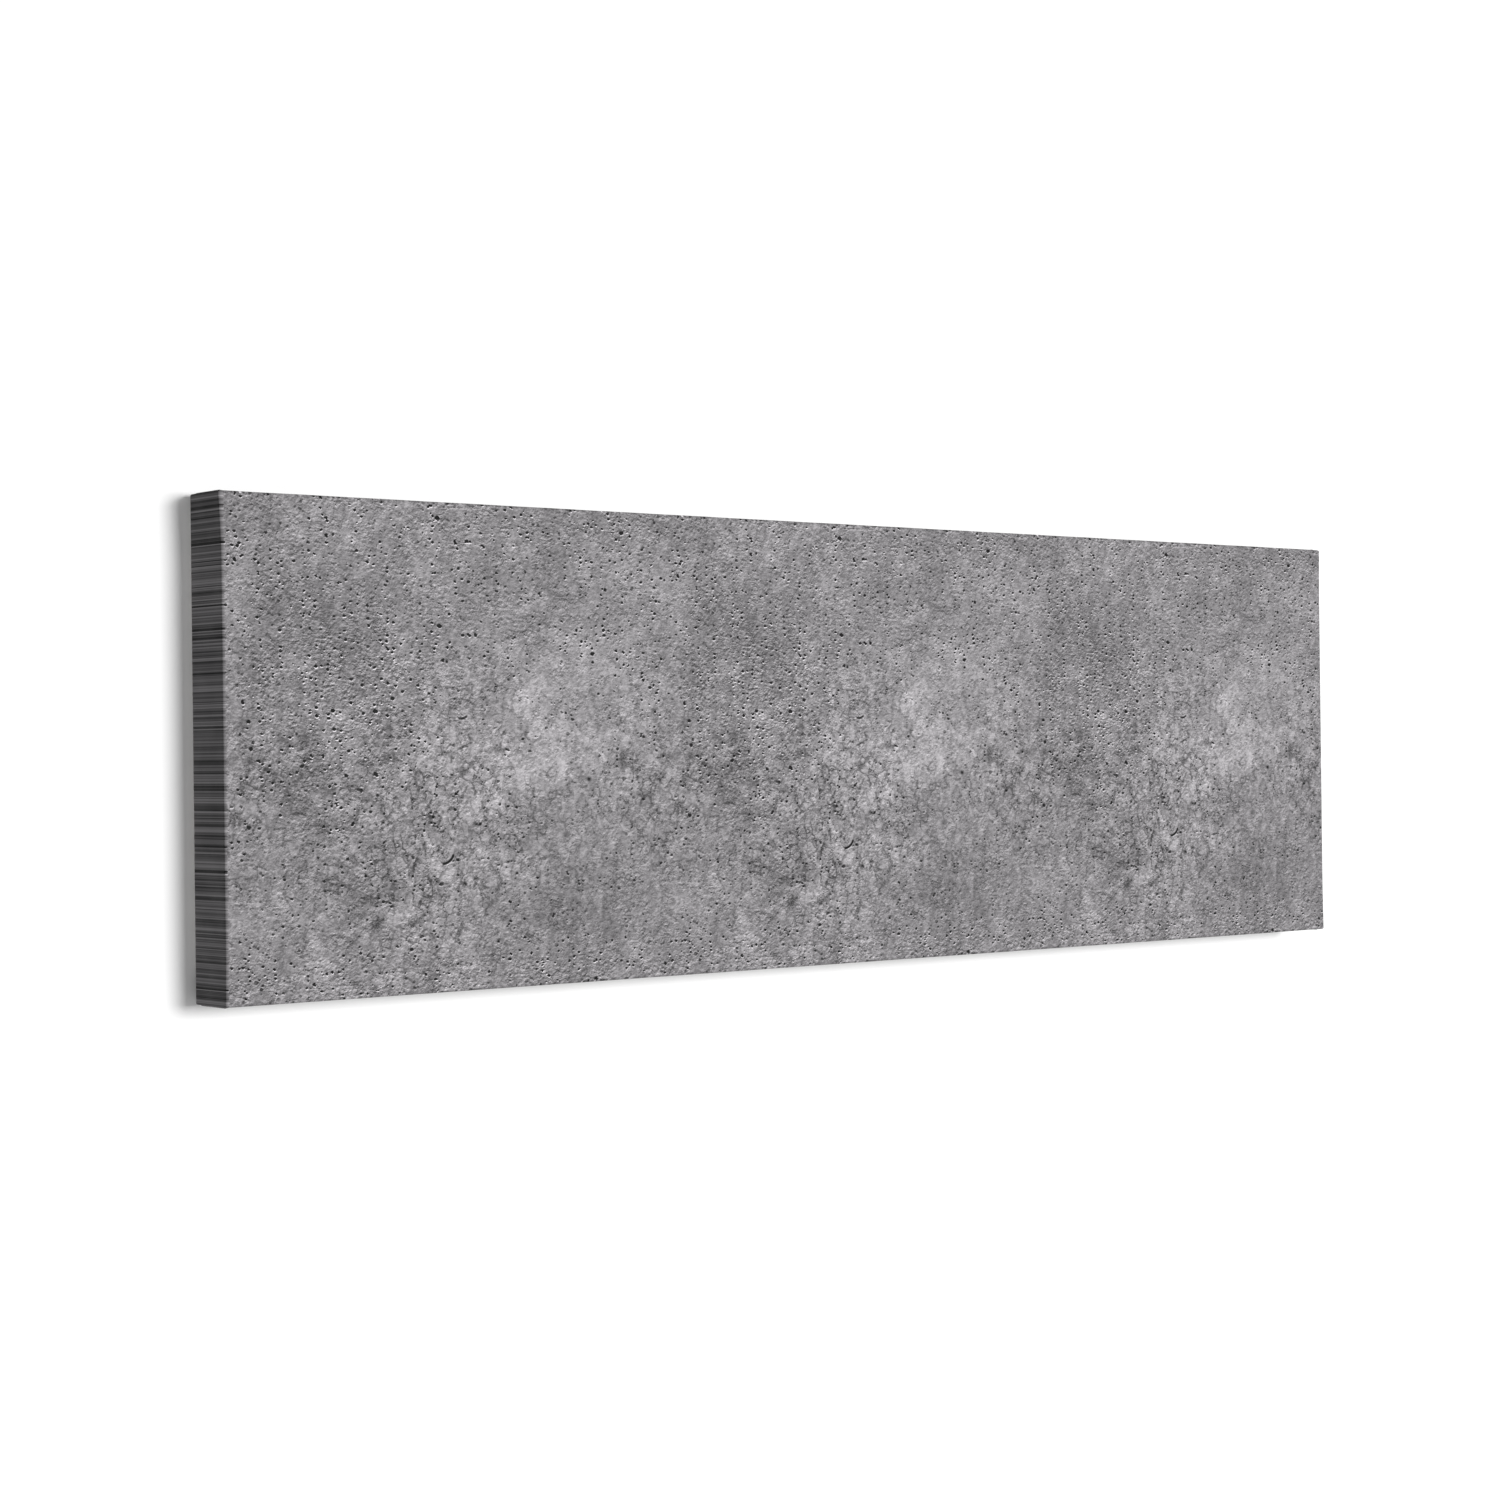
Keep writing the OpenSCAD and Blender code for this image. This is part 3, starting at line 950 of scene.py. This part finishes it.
def raw_cloth_material(cloth):
    """Back of the cloth: unprimed cotton with its weave, slubs and a few darker threads."""
    made, g = material("Raw canvas")
    place = g.object_place()
    slubs = g.noise(g.stretched(place, 9.0, 1.0, 1.0), 0.0011, 2.0, 0.6)
    warps = g.noise(g.stretched(place, 1.0, 1.0, 9.0), 0.0011, 2.0, 0.6)
    clouds = g.noise(place, 0.06, 3.0, 0.6)
    threads = g.total(g.times(slubs, 0.5), g.times(warps, 0.5))
    base = g.mix(
        g.step(threads, 0.38, 0.62), colour((0.56, 0.50, 0.40)), colour((0.76, 0.71, 0.60))
    )
    base = g.mix(g.times(g.step(clouds, 0.35, 0.7), 0.35), base, colour((0.64, 0.58, 0.47)))
    height = g.total(weave(g, cloth), threads)
    g.finish(
        **{
            "Base Color": base,
            "Roughness": 0.92,
            "Specular IOR Level": 0.15,
            "Sheen Weight": 0.15,
            "Normal": g.bump(height, 0.00012, 0.8),
        }
    )
    return made


def pine_material(name, settings, along, shift):
    """Planed pine with its grain along an axis.

    Rings are waves of the distance from a heart line that lies below the board and
    wanders a little; fibres are noise drawn out along the grain; a few knots bend the rings.
    """
    made, g = material(name)
    place = g.vector("ADD", g.object_place(), shift)
    long = [1.0, 1.0, 1.0]
    long[along] = 14.0
    cross = [a for a in range(3) if a != along]
    parts = g.split(place)
    knot_place = [1.0, 1.0, 1.0]
    knot_place[along] = 2.2
    distance, _ = g.cells(g.stretched(place, *knot_place), KNOT_SPACING)
    knot = g.step(distance, 0.02, 0.20, 1.0, 0.0)
    core = g.step(distance, 0.045, 0.075, 1.0, 0.0)
    drift = g.less(g.noise(g.stretched(place, *long), 0.020, 2.0), 0.5)
    bend = g.total(
        g.times(drift, 0.012),
        g.times(knot, 0.011),
        g.times(parts[along], 0.012),
    )
    a = g.total(parts[cross[0]], 0.030)
    b = g.total(parts[cross[1]], 0.016)
    heart = g.math("SQRT", g.total(g.times(a, a), g.times(b, b)))
    rings = g.math("FRACT", g.math("DIVIDE", g.total(heart, bend), RING_SPACING))
    late = g.times(g.step(rings, 0.45, 0.93), g.step(rings, 0.94, 1.0, 1.0, 0.0))
    fine = [1.0, 1.0, 1.0]
    fine[along] = 40.0
    fibres = g.noise(g.stretched(place, *fine), 0.0009, 3.0, 0.6)
    base = g.mix(late, colour(settings.pine_light), colour(settings.pine_dark))
    pale = tuple(min(1.0, c * 1.12) for c in settings.pine_light)
    base = g.mix(g.times(g.step(fibres, 0.4, 0.75), 0.45), base, colour(pale))
    base = g.mix(g.times(core, 0.85), base, colour((0.20, 0.085, 0.03)))
    tone = g.noise(place, 0.15, 2.0)
    base = g.mix(g.step(tone, 0.3, 0.7, 0.0, 0.25), base, colour((0.48, 0.33, 0.19)))
    rough = g.step(fibres, 0.3, 0.7, 0.5, 0.68)
    height = g.total(g.times(fibres, 0.7), g.times(late, 0.4))
    g.finish(
        **{
            "Base Color": base,
            "Roughness": rough,
            "Specular IOR Level": 0.35,
            "Normal": g.bump(height, 0.00012, 0.7),
        }
    )
    return made


def beech_material(name, settings, along):
    """Sawn beech for the keys: short dark flecks along the grain and faint saw lines across."""
    made, g = material(name)
    place = g.object_place()
    long, wide = [1.0, 1.0, 1.0], [6.0, 6.0, 6.0]
    long[along], wide[along] = 9.0, 1.0
    flecks = g.noise(g.stretched(place, *long), 0.0007, 2.0, 0.6)
    saw = g.noise(g.stretched(place, *wide), 0.0011, 1.0)
    tone = g.noise(place, 0.02, 2.0)
    dark = tuple(c * 0.62 for c in settings.beech)
    pale = tuple(min(1.0, c * 1.18) for c in settings.beech)
    base = g.mix(g.step(tone, 0.3, 0.7), colour(settings.beech), colour(pale))
    base = g.mix(g.step(flecks, 0.56, 0.70, 0.0, 0.8), base, colour(dark))
    height = g.total(flecks, g.times(saw, 0.8))
    g.finish(
        **{
            "Base Color": base,
            "Roughness": g.step(saw, 0.3, 0.7, 0.55, 0.72),
            "Specular IOR Level": 0.3,
            "Normal": g.bump(height, 0.00010, 0.7),
        }
    )
    return made


def plated_material(name, tint, rough_low, rough_high):
    """Plated steel: a passivated sheen in soft patches, fine drawing lines and dull spots."""
    made, g = material(name)
    place = g.object_place()
    patches = g.noise(place, 0.005, 3.0, 0.6)
    lines = g.noise(g.stretched(place, 1.0, 1.0, 16.0), 0.0004, 2.0)
    spots = g.step(g.noise(place, 0.0014, 2.0), 0.60, 0.72)
    dull = tuple(c * 0.66 for c in tint)
    warm = (tint[0], tint[1] * 0.97, tint[2] * 0.88)
    base = g.mix(g.step(patches, 0.35, 0.65), colour(tint), colour(warm))
    base = g.mix(g.times(spots, 0.5), base, colour(dull))
    rough = g.total(g.step(patches, 0.3, 0.7, rough_low, rough_high), g.times(spots, 0.15))
    g.finish(
        **{
            "Base Color": base,
            "Metallic": 1.0,
            "Roughness": rough,
            "Normal": g.bump(g.total(lines, patches), 0.00003, 0.5),
        }
    )
    return made


def rubber_material():
    """Moulded rubber: dark grey with a matt skin, pale dust in patches and a fine pebble."""
    made, g = material("Pad rubber")
    place = g.object_place()
    dust = g.noise(place, 0.004, 3.0, 0.6)
    pebble = g.noise(place, 0.0006, 2.0)
    black, dusty = colour((0.028, 0.028, 0.030)), colour((0.085, 0.083, 0.080))
    base = g.mix(g.step(dust, 0.45, 0.75, 0.0, 0.6), black, dusty)
    g.finish(
        **{
            "Base Color": base,
            "Roughness": g.step(dust, 0.3, 0.7, 0.62, 0.82),
            "Specular IOR Level": 0.35,
            "Normal": g.bump(pebble, 0.00006, 0.6),
        }
    )
    return made


def dress(nodes, made):
    """Gives CAD nodes a material in place of their own."""
    for name in nodes:
        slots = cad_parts[name].data.materials
        slots.clear()
        slots.append(made)


# ---- stage ----


def look_at(place, aim, roll=0.0):
    """Matrix of something at place that looks down its own -Z at aim, turned by roll."""
    turn = (Vector(aim) - Vector(place)).to_track_quat("-Z", "Y").to_matrix().to_4x4()
    return Matrix.Translation(place) @ turn @ Matrix.Rotation(roll, 4, "Z")


def add_camera(settings):
    camera = bpy.data.cameras.new("Camera")
    camera.sensor_width = 36.0
    camera.lens = settings.lens
    camera.clip_start = 0.01
    camera.clip_end = 50.0
    view = bpy.data.objects.new("Camera", camera)
    view.matrix_world = look_at(settings.camera_place, settings.aim, settings.roll)
    bpy.context.scene.collection.objects.link(view)
    bpy.context.scene.camera = view


def add_light(name, place, aim, size, power, spread=math.pi):
    light = bpy.data.lights.new(name, "AREA")
    light.shape = "RECTANGLE"
    light.size, light.size_y = size
    light.energy = power
    light.spread = spread
    lamp = bpy.data.objects.new(name, light)
    lamp.matrix_world = look_at(place, aim)
    bpy.context.scene.collection.objects.link(lamp)


def plane(name, corners, made):
    """A flat quad through four corners, part of the stage."""
    mesh = bpy.data.meshes.new(name)
    mesh.from_pydata(corners, [], [(0, 1, 2, 3)])
    mesh.materials.append(made)
    flat = bpy.data.objects.new(name, mesh)
    bpy.context.scene.collection.objects.link(flat)
    return flat


def wall_material():
    """Smooth white paint, seen from the front only, so the back of the picture stays open."""
    made, g = material("White wall")
    shade = g.step(g.noise(g.object_place(), 0.4, 2.0), 0.3, 0.7, 0.90, 0.915)
    tone = g.add("ShaderNodeCombineColor", [shade, shade, shade]).outputs[0]
    paint = g.add("ShaderNodeBsdfDiffuse", {"Color": tone}).outputs[0]
    clear = g.add("ShaderNodeBsdfTransparent").outputs[0]
    from_behind = g.add("ShaderNodeNewGeometry").outputs["Backfacing"]
    mixed = g.add("ShaderNodeMixShader", [from_behind, paint, clear]).outputs[0]
    g.add("ShaderNodeOutputMaterial", [mixed])
    return made


def floor_material():
    made, g = material("Pale floor")
    shade = g.step(g.noise(g.object_place(), 0.9, 3.0), 0.3, 0.7, 0.82, 0.86)
    tone = g.add("ShaderNodeCombineColor", [shade, shade, shade]).outputs[0]
    g.finish(**{"Base Color": tone, "Roughness": 1.0, "Specular IOR Level": 0.0})
    return made


def add_world(ambient):
    """Even light from all round, with a paler backdrop where nothing else is seen."""
    world = bpy.data.worlds.new("Studio")
    world.use_nodes = True
    g = Graph(world.node_tree)
    seen = g.add("ShaderNodeLightPath").outputs["Is Camera Ray"]
    strength = g.total(ambient, g.times(seen, BACKDROP - ambient))
    light = g.add("ShaderNodeBackground", [colour((1.0, 1.0, 1.0)), strength]).outputs[0]
    g.add("ShaderNodeOutputWorld", [light])
    bpy.context.scene.world = world


# ---- operators ----


class PICTURE_OT_stage(Operator):
    """Sets up the camera, the lights, the wall and the floor"""

    bl_idname = "picture.stage"
    bl_label = "Stage"

    def execute(self, context):
        settings = context.scene.picture_stage
        add_camera(settings)
        add_world(settings.ambient)
        centre = tuple(MIDDLE)
        key, back = settings.key_power, settings.back_power
        add_light("Key", (1.20, -6.5, 0.50), centre, (2.50, 1.80), key, math.radians(60))
        add_light("Back", (1.5, 2.2, 1.1), centre, (1.4, 1.4), back)
        add_light("Low back", (-0.9, 2.4, -0.6), centre, (1.2, 1.2), back * 0.35)
        if settings.show_wall:
            wall = plane("Wall", WALL_CORNERS, wall_material())
            wall.visible_diffuse = False
            wall.visible_glossy = False
            wall.visible_transmission = False
            wall.visible_shadow = False
        level, far = -settings.floor_drop, FLOOR_REACH
        corners = [(-far, -far, level), (far, -far, level), (far, far, level), (-far, far, level)]
        plane("Floor", corners, floor_material())
        context.scene.view_settings.view_transform = "Standard"
        return {"FINISHED"}


class PICTURE_OT_canvas(Operator):
    """Wraps the printed cloth round the frame, with its corner folds"""

    bl_idname = "picture.canvas"
    bl_label = "Wrapped canvas"

    def execute(self, context):
        cloth = context.scene.picture_cloth
        settings = context.scene.picture_print
        piece = mesh_from_grids("wrapped_canvas", cloth_grids(cloth) + fold_grids(cloth))
        piece.data.materials.append(printed_cloth_material(cloth, settings))
        piece.data.materials.append(raw_cloth_material(cloth))
        wall = piece.modifiers.new("Cloth thickness", "SOLIDIFY")
        wall.thickness = cloth.thickness
        wall.offset = -1.0
        wall.material_offset = 1
        wall.material_offset_rim = 1
        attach(piece, ROOT)
        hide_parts("canvas")
        return {"FINISHED"}


class PICTURE_OT_stretcher(Operator):
    """Gives the bars, the brace and the keys their wood"""

    bl_idname = "picture.stretcher"
    bl_label = "Stretcher frame"

    def execute(self, context):
        wood = context.scene.picture_wood
        across = (("top_bar", (0.0, 0.0, 0.0)), ("bottom_bar", (0.37, 0.011, 0.071)))
        upright = (
            ("left_bar", (0.093, 0.0, 0.21)),
            ("right_bar", (0.051, 0.004, 0.47)),
            ("centre_brace", (0.019, 0.013, 0.83)),
        )
        for name, shift in across:
            dress([name], pine_material(f"Pine {name}", wood, 0, shift))
        for name, shift in upright:
            dress([name], pine_material(f"Pine {name}", wood, 2, shift))
        keys = [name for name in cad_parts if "key" in name]
        lying = [name for name in keys if name.endswith("across") or name.startswith("brace")]
        standing = [name for name in keys if name not in lying]
        dress(lying, beech_material("Beech across", wood, 0))
        dress(standing, beech_material("Beech upright", wood, 2))
        return {"FINISHED"}


class PICTURE_OT_fittings(Operator):
    """Gives the hangers, screws, staples and wall pads their finish"""

    bl_idname = "picture.fittings"
    bl_label = "Fittings"

    def execute(self, context):
        nodes = list(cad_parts)
        zinc = plated_material("Zinc plate", (0.60, 0.61, 0.63), 0.34, 0.50)
        dress([name for name in nodes if "hanger" in name], zinc)
        wire = plated_material("Staple wire", (0.66, 0.66, 0.67), 0.30, 0.45)
        dress([name for name in nodes if name.startswith("staples")], wire)
        dress([name for name in nodes if name.endswith("pad")], rubber_material())
        return {"FINISHED"}


class PICTURE_PT_panel(Panel):
    """Builds the picture piece by piece"""

    bl_idname = "PICTURE_PT_panel"
    bl_label = "Wrapped Canvas Picture"
    bl_space_type = "VIEW_3D"
    bl_region_type = "UI"
    bl_category = "Picture"

    def draw(self, context):
        for group in ("picture_cloth", "picture_print", "picture_wood", "picture_stage"):
            box = self.layout.box()
            settings = getattr(context.scene, group)
            for name in settings.__annotations__:
                box.prop(settings, name)
        for operator in BUILDERS:
            self.layout.operator(operator.bl_idname)


BUILDERS = (PICTURE_OT_stage, PICTURE_OT_canvas, PICTURE_OT_stretcher, PICTURE_OT_fittings)
SETTINGS = {
    "picture_cloth": ClothSettings,
    "picture_print": PrintSettings,
    "picture_wood": WoodSettings,
    "picture_stage": StageSettings,
}
CLASSES = (*SETTINGS.values(), *BUILDERS, PICTURE_PT_panel)


def register():
    for cls in CLASSES:
        bpy.utils.register_class(cls)
    for name, cls in SETTINGS.items():
        setattr(bpy.types.Scene, name, PointerProperty(type=cls))


def unregister():
    for name in SETTINGS:
        delattr(bpy.types.Scene, name)
    for cls in reversed(CLASSES):
        bpy.utils.unregister_class(cls)


def main():
    """Builds everything in order."""
    register()
    bpy.ops.picture.stage()
    bpy.ops.picture.canvas()
    bpy.ops.picture.stretcher()
    bpy.ops.picture.fittings()


if __name__ == "__main__":
    main()
